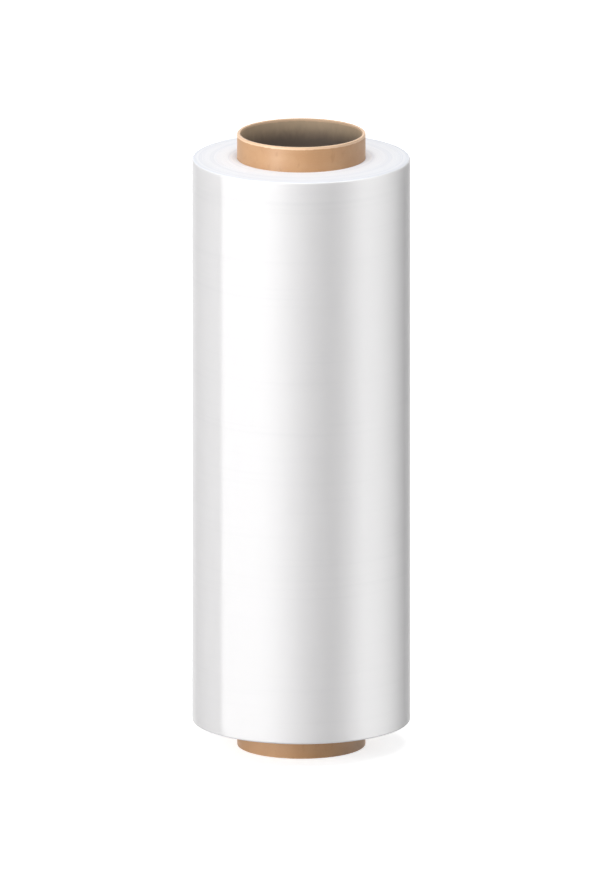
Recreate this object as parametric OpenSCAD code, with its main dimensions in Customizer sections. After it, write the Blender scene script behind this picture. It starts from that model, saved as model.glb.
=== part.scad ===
// Roll of stretch wrap, standing on one end of its core.
// The film is wound on a spiral-wound paperboard tube that stands out at both ends.
// Origin: centre of the lower end of the core. +Z runs up the axis. Millimetres.

/* [Core] */
// Inside diameter of the core
core_bore = 87.4; // [30:0.1:150]
// Thickness of the core's wall
core_wall = 2.3; // [2:0.1:12]
// Length of core that stands out of the film at each end
core_overhang = 18; // [5:0.5:40]
// Radius that rounds both edges of the core's cut ends
core_lip_r = 0.8; // [0.2:0.05:2]

/* [Core seam] */
// Height that the outer ply climbs in one turn round the core
seam_lead = 144; // [80:1:400]
// Width of the gap where the outer ply's edges meet, square across it
seam_gap = 0.6; // [0.2:0.05:2]
// Thickness of the outer ply, which is the depth of that gap
seam_depth = 0.3; // [0.1:0.05:0.6]
// Direction of the gap at the foot of the core, in degrees round from +X
seam_start = 70; // [0:5:355]

/* [Film] */
// Width of the film, which is the height of the wound part over its turns' edges
film_width = 414; // [100:1:600]
// Thickness of wound film, from the core out
film_build = 32.2; // [12:0.1:80]
// Clearance between the core and the film's first turn
film_fit = 0.1; // [0:0.05:0.5]
// Radius of the soft outer edges of the wound film
film_edge_r = 1.5; // [0.5:0.1:4]

/* [Turns] */
// Spacing of the ridges that the turns' edges form on the end faces
turn_pitch = 2.4; // [1.5:0.1:5]
// Height of those ridges
turn_relief = 0.3; // [0.1:0.05:0.6]
// Bare width kept inside and outside the ridges
turn_margin = 1.2; // [0.5:0.1:3]
// Step at the film's free end, where the last turn stops
tail_step = 0.2; // [0.1:0.05:1]
// Direction of the free end, in degrees round from +X
tail_angle = 105; // [0:5:355]

/* [Hidden] */
$fn = 96;

core_in_r = core_bore / 2;
core_out_r = core_in_r + core_wall;
core_len = film_width + 2 * core_overhang;
// The wall limits how far its two rounded edges can reach
lip_r = min(core_lip_r, core_wall * 0.45);

film_z = core_overhang;
film_in_r = core_out_r + film_fit;
film_out_r = core_out_r + film_build;

// Two half turns about two centres make a spiral of whole arcs, which meet with no kink.
// The centres stand a quarter of the spiral's pitch to either side of the axis.
tail_centre = tail_step / 4;
turn_centre = turn_pitch / 4;
turn_first_r = film_in_r + turn_margin + 3 * turn_centre;
turn_count = floor((film_out_r - film_edge_r - turn_margin - 3 * turn_centre - turn_first_r) / turn_pitch) + 1;
// How far each valley between ridges dips, and how deep the ridges' root goes, under the end face
turn_dip = turn_relief / 6;
turn_root = 1;
body_width = film_width - 2 * turn_relief;

seam_rise = atan(seam_lead / (2 * PI * core_out_r));
seam_slices_per_turn = 40;
seam_segments = 4;
// How far the cutters run past what they cut
seam_clear = 0.5;
bore_clear = 2;

paperboard = [0.80, 0.62, 0.44];
clear_film = [0.93, 0.94, 0.95];

// Section of a wall from radius r0 to r1 and height h, with its corners rounded at both ends
module wall_section(r0, r1, h, inner_corner, outer_corner) {
    translate([r0, inner_corner])
        square([r1 - r0 - outer_corner, h - 2 * inner_corner]);
    translate([r0 + inner_corner, 0])
        square([r1 - r0 - inner_corner - outer_corner, h]);
    translate([r0 + inner_corner, outer_corner])
        square([r1 - r0 - inner_corner, h - 2 * outer_corner]);
    for (up = [0, 1]) {
        if (inner_corner > 0)
            translate([r0 + inner_corner, up ? h - inner_corner : inner_corner])
                circle(r = inner_corner);
        translate([r1 - outer_corner, up ? h - outer_corner : outer_corner])
            circle(r = outer_corner);
    }
}

// The helical gap in the outer ply, as a cutter that runs past both ends of the core
module seam_gap_cutter() {
    run = core_len + 2 * seam_clear;
    turns = run / seam_lead;
    gap_angle = seam_gap / sin(seam_rise) / core_out_r * 180 / PI;
    floor_r = core_out_r - seam_depth;
    past_r = core_out_r + seam_clear;
    translate([0, 0, -seam_clear])
        rotate([0, 0, seam_start])
            linear_extrude(height = run, twist = -360 * turns, slices = ceil(turns * seam_slices_per_turn),
                           segments = seam_segments)
                polygon([
                    for (r = [floor_r, past_r]) each
                        [for (side = r == floor_r ? [-1, 1] : [1, -1])
                            r * [cos(side * gap_angle / 2), sin(side * gap_angle / 2)]]
                ]);
}

module core_tube() {
    color(paperboard)
        difference() {
            rotate_extrude()
                wall_section(core_in_r, core_out_r, core_len, lip_r, lip_r);
            seam_gap_cutter();
        }
}

// Ridges for one half turn after another: a toothed section with its root in the film
module ridge_section(first_r) {
    inner = first_r - turn_pitch / 2;
    outer = first_r + (turn_count - 0.5) * turn_pitch;
    polygon([
        [inner, -turn_root],
        for (k = [0 : turn_count - 1]) each [
            [first_r + (k - 0.5) * turn_pitch, -turn_dip],
            [first_r + k * turn_pitch, turn_relief]
        ],
        [outer, -turn_dip],
        [outer, -turn_root]
    ]);
}

// The spiral that the turns' edges draw on one end face, standing up from z = 0
module wound_edges() {
    for (half = [0, 1])
        translate([half ? -turn_centre : turn_centre, 0, 0])
            rotate_extrude(angle = 180, start = half * 180)
                ridge_section(turn_first_r + half * turn_pitch / 2);
}

// The wound body: its outer surface is the last turn, which ends in a straight step
module wound_body() {
    for (half = [0, 1])
        translate([half ? -tail_centre : tail_centre, 0, 0])
            rotate_extrude(angle = 180, start = half * 180)
                wall_section(core_in_r, film_out_r - tail_centre - half * 2 * tail_centre,
                             body_width, 0, film_edge_r);
}

module film_roll() {
    color(clear_film)
        translate([0, 0, film_z + turn_relief])
            rotate([0, 0, tail_angle])
                difference() {
                    union() {
                        wound_body();
                        translate([0, 0, body_width])
                            wound_edges();
                        mirror([0, 0, 1])
                            wound_edges();
                    }
                    translate([0, 0, -bore_clear])
                        cylinder(r = film_in_r, h = body_width + 2 * bore_clear);
                }
}

core_tube();
film_roll();
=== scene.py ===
# A roll of stretch wrap that stands on one end of its paperboard core, in a plain white studio.
import math

import bpy
from mathutils import Euler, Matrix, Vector


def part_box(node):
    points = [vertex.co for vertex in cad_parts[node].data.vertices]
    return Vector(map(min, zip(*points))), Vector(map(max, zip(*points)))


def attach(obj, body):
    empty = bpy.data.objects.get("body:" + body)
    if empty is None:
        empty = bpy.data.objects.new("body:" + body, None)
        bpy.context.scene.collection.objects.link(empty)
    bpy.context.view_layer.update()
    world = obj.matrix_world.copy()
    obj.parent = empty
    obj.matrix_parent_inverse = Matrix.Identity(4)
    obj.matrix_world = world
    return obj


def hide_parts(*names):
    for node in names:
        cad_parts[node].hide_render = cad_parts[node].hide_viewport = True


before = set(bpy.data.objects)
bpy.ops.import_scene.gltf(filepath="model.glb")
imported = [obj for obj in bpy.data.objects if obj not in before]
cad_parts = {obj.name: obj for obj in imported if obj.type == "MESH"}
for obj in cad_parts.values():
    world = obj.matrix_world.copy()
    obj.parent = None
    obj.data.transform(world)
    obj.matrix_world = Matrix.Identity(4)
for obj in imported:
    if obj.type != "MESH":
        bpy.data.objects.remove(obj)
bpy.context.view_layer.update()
scene = bpy.context.scene

# Camera
# The picture has no perspective: the roll's sides are parallel, and its upper end is seen from a little
# above. The places of the axis and of the core's two ends in the picture fix the scale and the aim.
PICTURE_WIDTH = 598
PICTURE_HEIGHT = 879
AXIS_PX = 301.3
CORE_TOP_PX = 132.75
CORE_FOOT_PX = 744.2
LOOK_DOWN = math.radians(13.4)
CAMERA_DISTANCE = 1.5

core_low, core_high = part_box("core_tube")
core_length = core_high.z - core_low.z
roll_middle = Vector((0, 0, (core_low.z + core_high.z) / 2))
metres_per_px = core_length * math.cos(LOOK_DOWN) / (CORE_FOOT_PX - CORE_TOP_PX)
camera_data = bpy.data.cameras.new("camera")
camera_data.type = "ORTHO"
camera_data.ortho_scale = PICTURE_HEIGHT * metres_per_px
camera = bpy.data.objects.new("camera", camera_data)
camera.rotation_euler = Euler((math.pi / 2 - LOOK_DOWN, 0, 0))
to_camera = Vector((
    (PICTURE_WIDTH / 2 - AXIS_PX) * metres_per_px,
    ((CORE_TOP_PX + CORE_FOOT_PX) / 2 - PICTURE_HEIGHT / 2) * metres_per_px,
    CAMERA_DISTANCE,
))
to_camera.rotate(camera.rotation_euler)
camera.location = roll_middle + to_camera
scene.collection.objects.link(camera)
scene.camera = camera

# Core
# A tube of kraft paperboard, glued up from strips of paper wound in a spiral and cut off square. The
# outer strip's edges meet in a fine helical gap, and the inner plies are grey-brown board, with painted
# shade that darkens it deeper into the bore. The cut ends are pale, slightly rounded and furred, and the
# pale band down from the upper rim is partly a painted highlight.
CORE_WALL = 0.0023
CORE_LIP = 0.0008
CORE_COLUMNS = 240
LIP_STEPS = 6
PLY = 0.0003
SEAM_LEAD = 0.144
SEAM_GAP = 0.0006
SEAM_START = math.radians(70)
INNER_SEAM_START = math.radians(-150)
CUTTER_PAST = 0.0005
SEAM_RUN_UP = 2 * math.pi * CUTTER_PAST / SEAM_LEAD
SEAM_STEPS = 72
SHARP = math.radians(35)
KRAFT = (0.47, 0.266, 0.135)
KRAFT_PALE = (0.565, 0.36, 0.207)
KRAFT_DARK = (0.35, 0.18, 0.08)
CUT_EDGE = (0.84, 0.60, 0.41)
# Painted light and shade inside the bore: the board's colour near each mouth, and deeper in
INNER_MOUTH_LIT = (0.61, 0.465, 0.32)
INNER_DEEP_SHADED = (0.175, 0.14, 0.115)
SEAM_SHADE = (0.16, 0.085, 0.04)
FIBRES = {"Coarse": 60.0, "Fine": 900.0, "Stretch": 1.6}
FLECKS = {"Coarse": 260.0, "Fine": 1800.0, "Stretch": 0.5}
MOTTLE_TINGE = (-0.2, 0.3, 0.35)
FLECK_TINGE = (0.08, 0.24, 0.35)
FIBRE_TINGE = (0.05, 0.25, 0.30)
PLY_FADE = (0.05, 0.25)
SEAM_SHOWS = 0.75
INNER_SEAM_SHOWS = 0.6
# The pale band at the cut ends is furred cut edge, and at the upper rim also a painted highlight
FUR_AND_HIGHLIGHT_SHOWS = 0.85
INSIDE_FADE = (0.0001, 0.0005)
SHADE_DEPTH = 0.017
SHADE_FRAY = 0.004
FUR_AND_HIGHLIGHT_BAND = (0.0014, 0.0022)
FUR_AND_HIGHLIGHT_FRAY = 0.001
FOOT_BAND_TRIM = 0.0013
KRAFT_ROUGHNESS = 0.42
KRAFT_GLOSS = 0.4
KRAFT_BUMP = 0.35
FIBRE_HEIGHT = 0.0001


class Term:
    """A number socket used in plain arithmetic. Each step adds one Math node to its tree."""

    def __init__(self, tree, socket):
        self.tree = tree
        self.socket = socket

    def step(self, operation, *values):
        node = place(self.tree, "ShaderNodeMath", dict(enumerate(values)), operation=operation)
        return Term(self.tree, node.outputs[0])

    def __add__(self, other):
        return self.step("ADD", self, other)

    def __sub__(self, other):
        return self.step("SUBTRACT", self, other)

    def __rsub__(self, other):
        return self.step("SUBTRACT", other, self)

    def __mul__(self, other):
        return self.step("MULTIPLY", self, other)

    def __truediv__(self, other):
        return self.step("DIVIDE", self, other)

    __radd__ = __add__
    __rmul__ = __mul__


def connect(tree, value, socket):
    """Links a term or another socket to this socket, or sets it to a plain value."""
    if isinstance(value, Term):
        value = value.socket
    if isinstance(value, bpy.types.NodeSocket):
        tree.links.new(value, socket)
    else:
        socket.default_value = value


def place(tree, kind, values=None, **settings):
    """A node of that kind, with its settings, and its inputs set or linked."""
    node = tree.nodes.new(kind)
    for name, value in settings.items():
        setattr(node, name, value)
    for key, value in (values or {}).items():
        connect(tree, value, node.inputs[key])
    return node


def sine(angle):
    return angle.step("SINE", angle)


def cosine(angle):
    return angle.step("COSINE", angle)


def lesser(first, second):
    return first.step("MINIMUM", first, second)


def greater(first, second):
    return first.step("MAXIMUM", first, second)


def fold(value, half):
    """How far the value is from the nearest whole number of twice that half."""
    return value.step("PINGPONG", value, half)


def ramp(value, low, high, smooth=True):
    """0 below low, 1 above high, and a rise between them."""
    kind = "SMOOTHSTEP" if smooth else "LINEAR"
    node = place(value.tree, "ShaderNodeMapRange", {0: value, 1: low, 2: high}, interpolation_type=kind)
    return Term(value.tree, node.outputs[0])


def tinge(value, low, high, share):
    """The share of a second colour: none below low, and that much above high."""
    return ramp(value, low, high) * share


def about_axis(tree, vector):
    """A point's angle round Z, its distance from Z and its height, as terms."""
    x, y, z = [Term(tree, s) for s in place(tree, "ShaderNodeSeparateXYZ", {0: vector}).outputs]
    squared = x * x + y * y
    return x.step("ARCTAN2", y, x), x.step("SQRT", squared), z


def shape_tree(name, sizes):
    """A Geometry Nodes tree with a named input for each size, and those inputs as terms by name."""
    tree = bpy.data.node_groups.new(name, "GeometryNodeTree")
    tree.interface.new_socket(name="Mesh", in_out="OUTPUT", socket_type="NodeSocketGeometry")
    for label, value in sizes.items():
        kind = "NodeSocketInt" if isinstance(value, int) else "NodeSocketFloat"
        tree.interface.new_socket(name=label, in_out="INPUT", socket_type=kind)
    tree.interface.new_socket(name="Material", in_out="INPUT", socket_type="NodeSocketMaterial")
    given = tree.nodes.new("NodeGroupInput").outputs
    return tree, {label: Term(tree, given[label]) for label in (*sizes, "Material")}


def close_tree(tree, mesh, material):
    """Ends a tree: only edges over the sharp angle stay crisp, and the mesh gets its material."""
    angle = place(tree, "GeometryNodeInputMeshEdgeAngle").outputs["Unsigned Angle"]
    soft = place(tree, "FunctionNodeCompare", {0: angle, 1: SHARP}, operation="LESS_THAN").outputs[0]
    faces = place(tree, "GeometryNodeSetShadeSmooth", {"Geometry": mesh, "Shade Smooth": True})
    edges = place(tree, "GeometryNodeSetShadeSmooth",
                  {"Geometry": faces.outputs[0], "Shade Smooth": soft}, domain="EDGE")
    real = place(tree, "GeometryNodeRealizeInstances", {"Geometry": edges.outputs[0]})
    done = place(tree, "GeometryNodeSetMaterial", {"Geometry": real.outputs[0], "Material": material})
    place(tree, "NodeGroupOutput", {0: done.outputs[0]})


def build_piece(name, tree, sizes, material):
    """The plain mesh object that a tree makes of those sizes."""
    piece = bpy.data.objects.new(name, bpy.data.meshes.new(name))
    scene.collection.objects.link(piece)
    shaper = piece.modifiers.new("shape", "NODES")
    shaper.node_group = tree
    given = {**sizes, "Material": material}
    for socket in tree.interface.items_tree:
        if socket.in_out == "INPUT":
            shaper[socket.identifier] = given[socket.name]
    seen = piece.evaluated_get(bpy.context.evaluated_depsgraph_get())
    mesh = bpy.data.meshes.new_from_object(seen)
    piece.modifiers.remove(shaper)
    piece.data = mesh
    mesh.name = name
    # The cut leaves an empty slot before the material's
    while mesh.materials[0] is None:
        mesh.materials.pop(index=0)
    return piece


def core_tree(sizes):
    """The core: a rounded wall section carried round Z, less a bar that follows the seam's helix."""
    tree, given = shape_tree("wound core", sizes)
    outer, length = given["Outer radius"], given["Length"]
    section = place(tree, "GeometryNodeCurvePrimitiveQuadrilateral",
                    {"Width": given["Wall"], "Height": length})
    rounded = place(tree, "GeometryNodeFilletCurve",
                    {"Curve": section.outputs[0], "Count": given["Lip steps"], "Radius": given["Lip"]},
                    mode="POLY")
    path = place(tree, "GeometryNodeCurvePrimitiveCircle",
                 {"Resolution": given["Columns"], "Radius": outer - given["Wall"] / 2})
    upright = place(tree, "GeometryNodeSetCurveNormal", {"Curve": path.outputs[0]}, mode="Z_UP")
    wall = place(tree, "GeometryNodeCurveToMesh",
                 {"Curve": upright.outputs[0], "Profile Curve": rounded.outputs[0]})
    raise_wall = place(tree, "ShaderNodeCombineXYZ", {2: length / 2}).outputs[0]
    tube = place(tree, "GeometryNodeTransform", {"Geometry": wall.outputs[0], "Translation": raise_wall})

    depth, run = given["Seam depth"], length + 2 * CUTTER_PAST
    bar_r = outer + (CUTTER_PAST - depth) / 2
    helix = place(tree, "GeometryNodeCurveSpiral", {
        "Resolution": SEAM_STEPS,
        "Rotations": run / given["Seam lead"],
        "Start Radius": bar_r,
        "End Radius": bar_r,
        "Height": run,
        "Reverse": True,
    })
    upright = place(tree, "GeometryNodeSetCurveNormal", {"Curve": helix.outputs[0]}, mode="Z_UP")
    bar = place(tree, "GeometryNodeCurvePrimitiveQuadrilateral",
                {"Width": depth + CUTTER_PAST, "Height": given["Seam gap"]})
    swept = place(tree, "GeometryNodeCurveToMesh",
                  {"Curve": upright.outputs[0], "Profile Curve": bar.outputs[0], "Fill Caps": True})
    turned = place(tree, "ShaderNodeCombineXYZ", {2: given["Seam start"]}).outputs[0]
    cutter = place(tree, "GeometryNodeTransform", {
        "Geometry": swept.outputs[0], "Translation": (0, 0, -CUTTER_PAST), "Rotation": turned})
    cut = place(tree, "GeometryNodeMeshBoolean",
                {"Mesh 1": tube.outputs[0], "Mesh 2": cutter.outputs[0]},
                operation="DIFFERENCE", solver="EXACT")
    close_tree(tree, cut.outputs[0], given["Material"])
    return tree


def shader_group(name, takes, gives):
    """An empty shader node group, and its inputs as terms by name."""
    tree = bpy.data.node_groups.new(name, "ShaderNodeTree")
    for label in takes:
        kind = "NodeSocketVector" if label == "Place" else "NodeSocketFloat"
        tree.interface.new_socket(name=label, in_out="INPUT", socket_type=kind)
    for label in gives:
        tree.interface.new_socket(name=label, in_out="OUTPUT", socket_type="NodeSocketFloat")
    given = tree.nodes.new("NodeGroupInput").outputs
    return tree, {label: Term(tree, given[label]) for label in takes}


def use_group(tree, group, values):
    """The outputs, as terms, of a shader group used in a material."""
    node = place(tree, "ShaderNodeGroup", values, node_tree=group)
    return [Term(tree, socket) for socket in node.outputs]


def speckle_group():
    """Mottling from a coarse and a fine noise, each a number round 0, drawn out along Z or across it."""
    takes = ["Place", "Coarse", "Fine", "Stretch"]
    tree, given = shader_group("speckle", takes, ["Coarse tone", "Fine tone"])
    squeeze = place(tree, "ShaderNodeCombineXYZ", {0: 1.0, 1: 1.0, 2: given["Stretch"]}).outputs[0]
    drawn = place(tree, "ShaderNodeVectorMath", {0: given["Place"], 1: squeeze}, operation="MULTIPLY")
    tones = {}
    for number, label in enumerate(("Coarse", "Fine")):
        noise = place(tree, "ShaderNodeTexNoise",
                      {"Vector": drawn.outputs[0], "Scale": given[label], "Detail": 3.0})
        tones[number] = Term(tree, noise.outputs[0]) - 0.5
    place(tree, "NodeGroupOutput", tones)
    return tree


def seam_group():
    """1 along a line that climbs round Z, and 0 away from it."""
    tree, given = shader_group("helical seam", ["Place", "Lead", "Start", "Width"], ["Line"])
    angle, _, height = about_axis(tree, given["Place"])
    turns = (angle - given["Start"]) / (2 * math.pi)
    away = fold(height / given["Lead"] - turns, 0.5) * given["Lead"]
    place(tree, "NodeGroupOutput", {0: 1.0 - ramp(away, given["Width"] * 0.5, given["Width"] * 1.1)})
    return tree


def blend(tree, share, first, second):
    """The colour between two, by a share from 0 to 1."""
    node = place(tree, "ShaderNodeMix", data_type="RGBA")
    for value, socket in ((share, node.inputs[0]), (first, node.inputs[6]), (second, node.inputs[7])):
        connect(tree, (*value, 1.0) if isinstance(value, tuple) else value, socket)
    return node.outputs[2]


def new_material(name):
    """A material's tree, its Principled shader and the object coordinates."""
    material = bpy.data.materials.new(name)
    material.use_nodes = True
    tree = material.node_tree
    where = place(tree, "ShaderNodeTexCoord").outputs["Object"]
    return material, tree, tree.nodes["Principled BSDF"], where


def kraft_material(outer_r, length):
    """Brown paperboard with fibre flecks, a pale furred upper edge that is partly a painted highlight,
    and grey-brown board inside with painted shade deeper in.
    """
    material, tree, shader, where = new_material("kraft paperboard")
    _, radius, height = about_axis(tree, where)
    inner_r = outer_r - CORE_WALL
    from_top = length - height
    mottle, fibre = use_group(tree, speckle, {"Place": where, **FIBRES})
    flecks = use_group(tree, speckle, {"Place": where, **FLECKS})[0]
    paper = blend(tree, tinge(mottle, *MOTTLE_TINGE), KRAFT, KRAFT_PALE)
    paper = blend(tree, tinge(flecks, *FLECK_TINGE), paper, KRAFT_DARK)
    paper = blend(tree, tinge(fibre, *FIBRE_TINGE), paper, KRAFT_PALE)

    inside = 1.0 - ramp(radius, inner_r + INSIDE_FADE[0], inner_r + INSIDE_FADE[1])
    # Painted shade: the board inside is lighter near each mouth and darker deeper into the bore
    depth = lesser(from_top, height) + flecks * SHADE_FRAY
    board = blend(tree, ramp(depth, 0.0, SHADE_DEPTH), INNER_MOUTH_LIT, INNER_DEEP_SHADED)
    outer_line = use_group(tree, seam, {
        "Place": where, "Lead": SEAM_LEAD, "Start": SEAM_START + SEAM_RUN_UP, "Width": SEAM_GAP})[0]
    inner_line = use_group(tree, seam, {
        "Place": where, "Lead": SEAM_LEAD, "Start": INNER_SEAM_START, "Width": SEAM_GAP})[0]
    paper = blend(tree, outer_line * SEAM_SHOWS, paper, SEAM_SHADE)
    board = blend(tree, inner_line * INNER_SEAM_SHOWS, board, SEAM_SHADE)
    paper = blend(tree, inside, paper, board)

    # Pale band at the cut ends: furred cut-edge colour, and down from the upper rim a painted highlight
    # as well
    fur_and_highlight = lesser(from_top, height + FOOT_BAND_TRIM) + flecks * FUR_AND_HIGHLIGHT_FRAY
    plies = ramp(fold(radius / PLY, 0.5), *PLY_FADE)
    edge = blend(tree, plies, KRAFT_PALE, CUT_EDGE)
    paper = blend(tree, (1.0 - ramp(fur_and_highlight, *FUR_AND_HIGHLIGHT_BAND)) * FUR_AND_HIGHLIGHT_SHOWS, paper, edge)
    connect(tree, paper, shader.inputs["Base Color"])
    connect(tree, KRAFT_ROUGHNESS + fibre * 0.3, shader.inputs["Roughness"])
    shader.inputs["Specular IOR Level"].default_value = KRAFT_GLOSS
    bump = place(tree, "ShaderNodeBump",
                 {"Height": fibre + flecks, "Strength": KRAFT_BUMP, "Distance": FIBRE_HEIGHT})
    connect(tree, bump.outputs[0], shader.inputs["Normal"])
    return material


speckle = speckle_group()
seam = seam_group()
core_r = (core_high.x - core_low.x) / 2
core_sizes = {
    "Outer radius": core_r,
    "Wall": CORE_WALL,
    "Lip": CORE_LIP,
    "Length": core_length,
    "Seam lead": SEAM_LEAD,
    "Seam gap": SEAM_GAP,
    "Seam depth": PLY,
    "Seam start": SEAM_START,
    "Columns": CORE_COLUMNS,
    "Lip steps": LIP_STEPS,
}
kraft = kraft_material(core_r, core_length)
core = build_piece("paperboard_core", core_tree(core_sizes), core_sizes, kraft)
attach(core, "root")
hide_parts("core_tube")

# Film
# Hundreds of metres of clear stretch film, wound tight on the core by machine. Wound this thick it looks
# white and glossy. Each end shows the spiral of the turns' edges, and the free end lies down the back.
FILM_FIT = 0.0001
FILM_BUILD = 0.0322
FILM_EDGE = 0.0015
TURN_MARGIN = 0.0012
TURN_PITCH = 0.0012
TURN_RELIEF = 0.0003
TAIL_STEP = 0.0002
TAIL_ANGLE = math.radians(105)
TAIL_FLAP = 0.03
FILM_COLUMNS = 240
TURN_ROWS = 4
EDGE_ROWS = 6
WALL_ROWS = 60
WELD = 2e-6
FILM_WHITE = (0.828, 0.818, 0.824)
FILM_SHADE = (0.765, 0.76, 0.77)
END_WHITE = (0.88, 0.895, 0.93)
END_SHADE = (0.74, 0.77, 0.84)
END_FADE = (0.0012, 0.0004)
TAIL_LINE = (0.0002, 0.0006)
HOOPS = {"Coarse": 1.6, "Fine": 9.0, "Stretch": 40.0}
PULLS = {"Coarse": 16.0, "Fine": 60.0, "Stretch": 0.12}
UNEVEN_SCALE = 0.4
UNEVEN_RANGE = (0.3, 0.7)
RIDGE_SHARE = 0.4
BAND_SCALE = 0.3
BAND_TINGE = (0.45, 0.7, 0.5)
LINE_SCALE = 5.0
LINE_TINGE = (0.5, 0.8, 0.4)
HOOP_TINGE = (0.0, 0.4, 0.45)
TAIL_SHOWS = 0.9
FILM_ROUGHNESS = 0.2
FILM_COAT_IOR = 2.25
FILM_COAT_ROUGHNESS = 0.13
FILM_DULL = (0.45, 0.9, 0.6)
FILM_BUMP = 0.6
PULL_HEIGHT = 0.0005


def unit_grid(tree, columns, rows):
    """A flat grid of so many columns and rows, and each point's share of the way along both."""
    grid = place(tree, "GeometryNodeMeshGrid", {
        "Size X": 1.0, "Size Y": 1.0, "Vertices X": columns + 1, "Vertices Y": rows + 1})
    at = place(tree, "GeometryNodeInputPosition").outputs[0]
    x, y = place(tree, "ShaderNodeSeparateXYZ", {0: at}).outputs[:2]
    return grid.outputs[0], Term(tree, x) + 0.5, Term(tree, y) + 0.5


def wrapped(tree, mesh, angle, radius, height):
    """The mesh with each point moved to that angle, radius and height."""
    spot = place(tree, "ShaderNodeCombineXYZ",
                 {0: radius * cosine(angle), 1: radius * sine(angle), 2: height})
    moved = place(tree, "GeometryNodeSetPosition", {"Geometry": mesh, "Position": spot.outputs[0]})
    return moved.outputs[0]


def noise_along(tree, value, scale, detail):
    """A noise that changes with one number only."""
    node = place(tree, "ShaderNodeTexNoise", {"W": value, "Scale": scale, "Detail": detail},
                 noise_dimensions="1D")
    return Term(tree, node.outputs[0])


def end_face(tree, given, top, flat_r):
    """The upper face. Its rows follow the turns' spiral, and the turns stand a little unevenly."""
    inner, pitch, relief = given["Bore radius"], given["Turn pitch"], given["Turn relief"]
    span = (flat_r - inner) / pitch
    turns = span.step("CEIL", span) + 1.0
    grid, share, level = unit_grid(tree, given["Columns"], turns * given["Turn rows"])
    turn = level * turns
    wound = turn - share
    radius = lesser(greater(inner + wound * pitch, inner), flat_r)
    ridge = 0.5 - cosine(turn * (2 * math.pi)) * 0.5
    uneven = noise_along(tree, wound + given["Seed"], UNEVEN_SCALE, 2.0)
    stand = ramp(uneven, *UNEVEN_RANGE, smooth=False)
    margin = given["Turn margin"]
    fade = ramp(radius - inner, 0.0, margin) * ramp(flat_r - radius, 0.0, margin)
    height = top + relief * fade * (ridge * RIDGE_SHARE + stand * (1.0 - RIDGE_SHARE))
    return wrapped(tree, grid, given["Tail angle"] + share * (2 * math.pi), radius, height)


def outer_wall(tree, given, bottom, top, flat_r):
    """The last turn: rounded at both edges, and ending in a narrow step at the free end."""
    edge = given["Edge radius"]
    edge_rows, wall_rows, columns = given["Edge rows"], given["Wall rows"], given["Columns"]
    rows = edge_rows * 2 + wall_rows
    grid, share, level = unit_grid(tree, columns + 1, rows)
    row = level * rows
    column = share * (columns + 1)
    around = lesser(column / columns, 1.0)
    past_tail = ramp(column - columns, 0.25, 0.75)
    low_turn = ramp(row, 0.0, edge_rows, smooth=False) * (math.pi / 2)
    high_turn = ramp(row - edge_rows - wall_rows, 0.0, edge_rows, smooth=False) * (math.pi / 2)
    bulge = sine(low_turn) * cosine(high_turn)
    sunk = around * (1.0 - past_tail) * given["Tail step"]
    radius = flat_r + bulge * (edge - sunk)
    climbed = ramp(row - edge_rows, 0.0, wall_rows, smooth=False) * (top - bottom - edge * 2)
    height = bottom + climbed + edge * (1.0 - cosine(low_turn) + sine(high_turn))
    return wrapped(tree, grid, given["Tail angle"] + around * (2 * math.pi), radius, height)


def film_tree(sizes):
    """The wound film: both end faces, the outer wall and the bore, welded into one closed body."""
    tree, given = shape_tree("wound film", sizes)
    bottom = given["Lower face"] + given["Turn relief"]
    top = given["Upper face"] - given["Turn relief"]
    flat_r = given["Outer radius"] - given["Edge radius"]
    face = end_face(tree, given, top, flat_r)
    upper = place(tree, "GeometryNodeFlipFaces", {"Mesh": face}).outputs[0]
    down = place(tree, "ShaderNodeCombineXYZ", {2: bottom + top}).outputs[0]
    lower = place(tree, "GeometryNodeTransform", {
        "Geometry": face, "Translation": down, "Scale": (1.0, 1.0, -1.0)}).outputs[0]
    wall = outer_wall(tree, given, bottom, top, flat_r)
    grid, share, level = unit_grid(tree, given["Columns"], given["Bore rows"])
    angle = given["Tail angle"] + share * (2 * math.pi)
    bore = wrapped(tree, grid, angle, given["Bore radius"], bottom + level * (top - bottom))
    bore = place(tree, "GeometryNodeFlipFaces", {"Mesh": bore}).outputs[0]
    sides = place(tree, "GeometryNodeJoinGeometry")
    for side in (upper, lower, wall, bore):
        tree.links.new(side, sides.inputs[0])
    welded = place(tree, "GeometryNodeMergeByDistance", {"Geometry": sides.outputs[0], "Distance": WELD})
    close_tree(tree, welded.outputs[0], given["Material"])
    return tree


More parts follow.
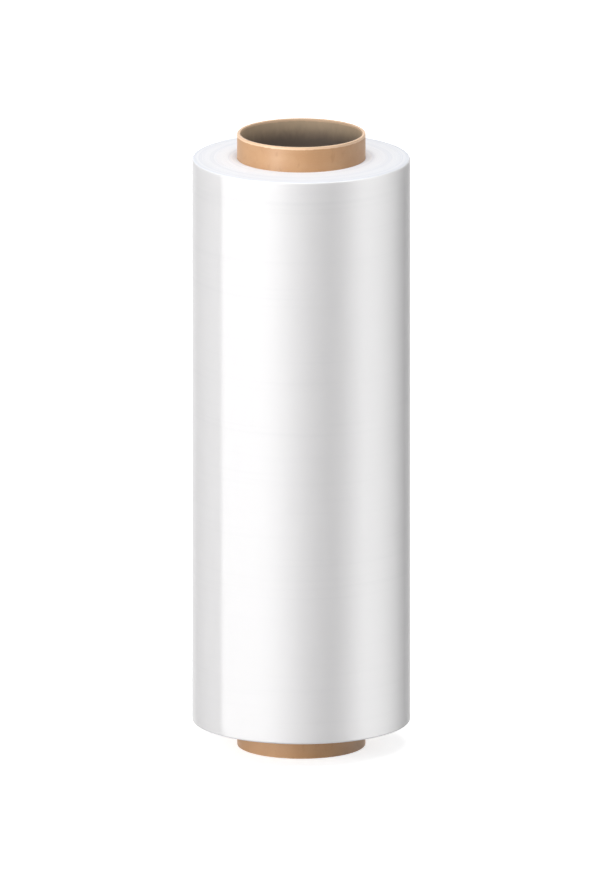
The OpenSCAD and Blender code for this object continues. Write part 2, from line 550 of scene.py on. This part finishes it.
def film_material(low, high, inner_r):
    """Wound clear film: white and glossy, with faint hoops and pulls, cooler cut ends and a free end.

    Its gloss is duller where it is seen at a slant, so that no edge burns out against the background.
    """
    material, tree, shader, where = new_material("stretch film")
    angle, radius, height = about_axis(tree, where)
    from_middle = fold(height - (low + high) / 2, 1.0)
    at_end = ramp(from_middle, (high - low) / 2 - END_FADE[0], (high - low) / 2 - END_FADE[1])

    share = (angle - TAIL_ANGLE) / (2 * math.pi)
    past_tail = share - share.step("FLOOR", share)
    turn = (radius - inner_r) / TURN_PITCH + past_tail
    bands = tinge(noise_along(tree, turn, BAND_SCALE, 2.0), *BAND_TINGE)
    lines = tinge(noise_along(tree, turn, LINE_SCALE, 1.0), *LINE_TINGE)
    end_tone = blend(tree, bands + lines, END_WHITE, END_SHADE)

    hoop, fine_hoop = use_group(tree, speckle, {"Place": where, **HOOPS})
    pull, fine_pull = use_group(tree, speckle, {"Place": where, **PULLS})
    from_tail = fold(share, 0.5) * (2 * math.pi) * radius
    tail_line = (1.0 - ramp(from_tail, *TAIL_LINE)) * (1.0 - at_end)
    flap = 1.0 - ramp(past_tail * (2 * math.pi) * radius, 0.0, TAIL_FLAP)
    shade = tinge(hoop + fine_hoop * 0.7, *HOOP_TINGE) + tail_line * TAIL_SHOWS
    side_tone = blend(tree, shade, FILM_WHITE, FILM_SHADE)
    connect(tree, blend(tree, at_end, side_tone, end_tone), shader.inputs["Base Color"])
    connect(tree, FILM_ROUGHNESS + fine_hoop * 0.1 + at_end * 0.3, shader.inputs["Roughness"])
    facing = Term(tree, place(tree, "ShaderNodeLayerWeight", {"Blend": 0.5}).outputs["Facing"])
    gloss = (1.0 - at_end * 0.9) * (1.0 - tinge(facing, *FILM_DULL))
    connect(tree, gloss, shader.inputs["Coat Weight"])
    shader.inputs["Specular IOR Level"].default_value = 0.0
    shader.inputs["Coat IOR"].default_value = FILM_COAT_IOR
    shader.inputs["Coat Roughness"].default_value = FILM_COAT_ROUGHNESS
    relief = pull + fine_pull * (0.2 + flap * 0.6) + fine_hoop * 0.12
    bump = place(tree, "ShaderNodeBump",
                 {"Height": relief, "Strength": FILM_BUMP, "Distance": PULL_HEIGHT})
    connect(tree, bump.outputs[0], shader.inputs["Normal"])
    return material


film_low, film_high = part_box("film_roll")
film_sizes = {
    "Bore radius": core_r + FILM_FIT,
    "Outer radius": core_r + FILM_BUILD,
    "Lower face": film_low.z,
    "Upper face": film_high.z,
    "Edge radius": FILM_EDGE,
    "Turn margin": TURN_MARGIN,
    "Turn pitch": TURN_PITCH,
    "Turn relief": TURN_RELIEF,
    "Tail step": TAIL_STEP,
    "Tail angle": TAIL_ANGLE,
    "Columns": FILM_COLUMNS,
    "Turn rows": TURN_ROWS,
    "Edge rows": EDGE_ROWS,
    "Wall rows": WALL_ROWS,
    "Bore rows": 1,
    "Seed": 7,
}
stretch_film = film_material(film_low.z, film_high.z, core_r + FILM_FIT)
film = build_piece("wound_film", film_tree(film_sizes), film_sizes, stretch_film)
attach(film, "root")
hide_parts("film_roll")

# Studio
# A white floor and surround. Soft lamps stand in front to the left, overhead and on both sides behind,
# and a small one lights the core alone. The film mirrors tall soft panels to the left, to the right and
# behind, which reach below the floor's level.
FLOOR_HALF = 3.0
FLOOR_WHITE = (0.66, 0.66, 0.66)
FLOOR_GLOW = 0.72
FLOOR_FADE = (0.15, 1.0)
AMBIENT_LOW = 0.06
AMBIENT_RISE = 0.26
LAMP_DISTANCE = 1.6
LEFT_PANEL = 1.85
LEFT_RISE = (-97, -90)
LEFT_FALL = (-46, 26)
LEFT_GLOW = 0.6
GLOW_RISE = (-175, -100)
RIGHT_PANEL = 2.5
RIGHT_RISE = (28, 78)
RIGHT_FALL = (82, 160)
BACK_PANEL = 1.3
BACK_RISE = (140, 175)
PANEL_FEET = (-0.95, -0.5)
CEILING = 0.8
CEILING_RISE = (0.35, 0.7)
SURROUND = 0.22


def floor_material():
    """A white floor that shows the camera a faint shadow and lights the roll as pale card would."""
    material = bpy.data.materials.new("white floor")
    material.use_nodes = True
    tree = material.node_tree
    tree.nodes.remove(tree.nodes["Principled BSDF"])
    lit = place(tree, "ShaderNodeBsdfDiffuse", {"Color": (*FLOOR_WHITE, 1.0)})
    seen = Term(tree, place(tree, "ShaderNodeLightPath").outputs["Is Camera Ray"])
    away = about_axis(tree, place(tree, "ShaderNodeTexCoord").outputs["Object"])[1]
    strength = ramp(away, *FLOOR_FADE) * (1.0 - FLOOR_GLOW) + FLOOR_GLOW
    glow = place(tree, "ShaderNodeEmission", {"Strength": seen * strength})
    both = place(tree, "ShaderNodeAddShader", {0: lit.outputs[0], 1: glow.outputs[0]})
    connect(tree, both.outputs[0], tree.nodes["Material Output"].inputs[0])
    return material


def soft_panel(azimuth, rise, fall, brightness):
    """A tall panel that gloss mirrors, by the azimuths over which it brightens and then fades."""
    up = ramp(azimuth, math.radians(rise[0]), math.radians(rise[1]))
    down = 1.0 - ramp(azimuth, math.radians(fall[0]), math.radians(fall[1]))
    return up * down * brightness


def soft_lamp(name, azimuth, height, size, watts):
    """A square lamp that faces the roll's middle and isn't mirrored. Left of the front is negative."""
    azimuth, height = math.radians(azimuth), math.radians(height)
    data = bpy.data.lights.new(name, "AREA")
    data.energy = watts
    data.size = size
    lamp = bpy.data.objects.new(name, data)
    lamp.visible_glossy = False
    aside = Vector((math.sin(azimuth), -math.cos(azimuth), 0)) * math.cos(height)
    lamp.location = roll_middle + (aside + Vector((0, 0, math.sin(height)))) * LAMP_DISTANCE
    lamp.rotation_euler = (lamp.location - roll_middle).to_track_quat("Z", "Y").to_euler()
    scene.collection.objects.link(lamp)
    return lamp


corners = [(-FLOOR_HALF, -FLOOR_HALF, 0), (FLOOR_HALF, -FLOOR_HALF, 0),
           (FLOOR_HALF, FLOOR_HALF, 0), (-FLOOR_HALF, FLOOR_HALF, 0)]
floor_mesh = bpy.data.meshes.new("floor")
floor_mesh.from_pydata(corners, [], [(0, 1, 2, 3)])
floor_mesh.materials.append(floor_material())
floor = bpy.data.objects.new("floor", floor_mesh)
floor.location.z = core_low.z
floor.visible_glossy = False
scene.collection.objects.link(floor)

soft_lamp("front_lamp", azimuth=-34, height=10, size=0.9, watts=12.5)
soft_lamp("top_lamp", azimuth=0, height=75, size=1.2, watts=17.0)
soft_lamp("back_right_lamp", azimuth=138, height=10, size=0.9, watts=6.5)
soft_lamp("back_left_lamp", azimuth=-138, height=10, size=0.9, watts=9.0)
# The film neither gets this lamp's light nor blocks it, and the core's gloss shows it
core_lamp = soft_lamp("core_lamp", azimuth=-46, height=-4, size=0.35, watts=9.0)
core_lamp.visible_glossy = True
core_only = bpy.data.collections.new("core only")
core_only.objects.link(core)
core_lamp.light_linking.receiver_collection = core_only
core_lamp.light_linking.blocker_collection = core_only

world = bpy.data.worlds.new("studio")
scene.world = world
world.use_nodes = True
tree = world.node_tree
heading = place(tree, "ShaderNodeTexCoord").outputs["Generated"]
x, y, up = [Term(tree, s) for s in place(tree, "ShaderNodeSeparateXYZ", {0: heading}).outputs]
azimuth = x.step("ARCTAN2", x, y * -1.0)
left = soft_panel(azimuth, LEFT_RISE, LEFT_FALL, LEFT_PANEL)
left_glow = soft_panel(azimuth, GLOW_RISE, LEFT_RISE, LEFT_GLOW)
right = soft_panel(azimuth, RIGHT_RISE, RIGHT_FALL, RIGHT_PANEL)
back = ramp(azimuth.step("ABSOLUTE", azimuth), *map(math.radians, BACK_RISE)) * BACK_PANEL
panels = (left + left_glow + right + back) * ramp(up, *PANEL_FEET)
mirrored = panels + ramp(up, *CEILING_RISE) * CEILING + SURROUND
ambient = greater(up, 0.0) * AMBIENT_RISE + AMBIENT_LOW
rays = place(tree, "ShaderNodeLightPath").outputs
level = place(tree, "ShaderNodeMix", {0: rays["Is Glossy Ray"], 2: ambient, 3: mirrored}).outputs[0]
level = place(tree, "ShaderNodeMix", {0: rays["Is Camera Ray"], 2: level, 3: 1.0}).outputs[0]
connect(tree, (1.0, 1.0, 1.0, 1.0), tree.nodes["Background"].inputs["Color"])
connect(tree, level, tree.nodes["Background"].inputs["Strength"])

scene.view_settings.view_transform = "Standard"
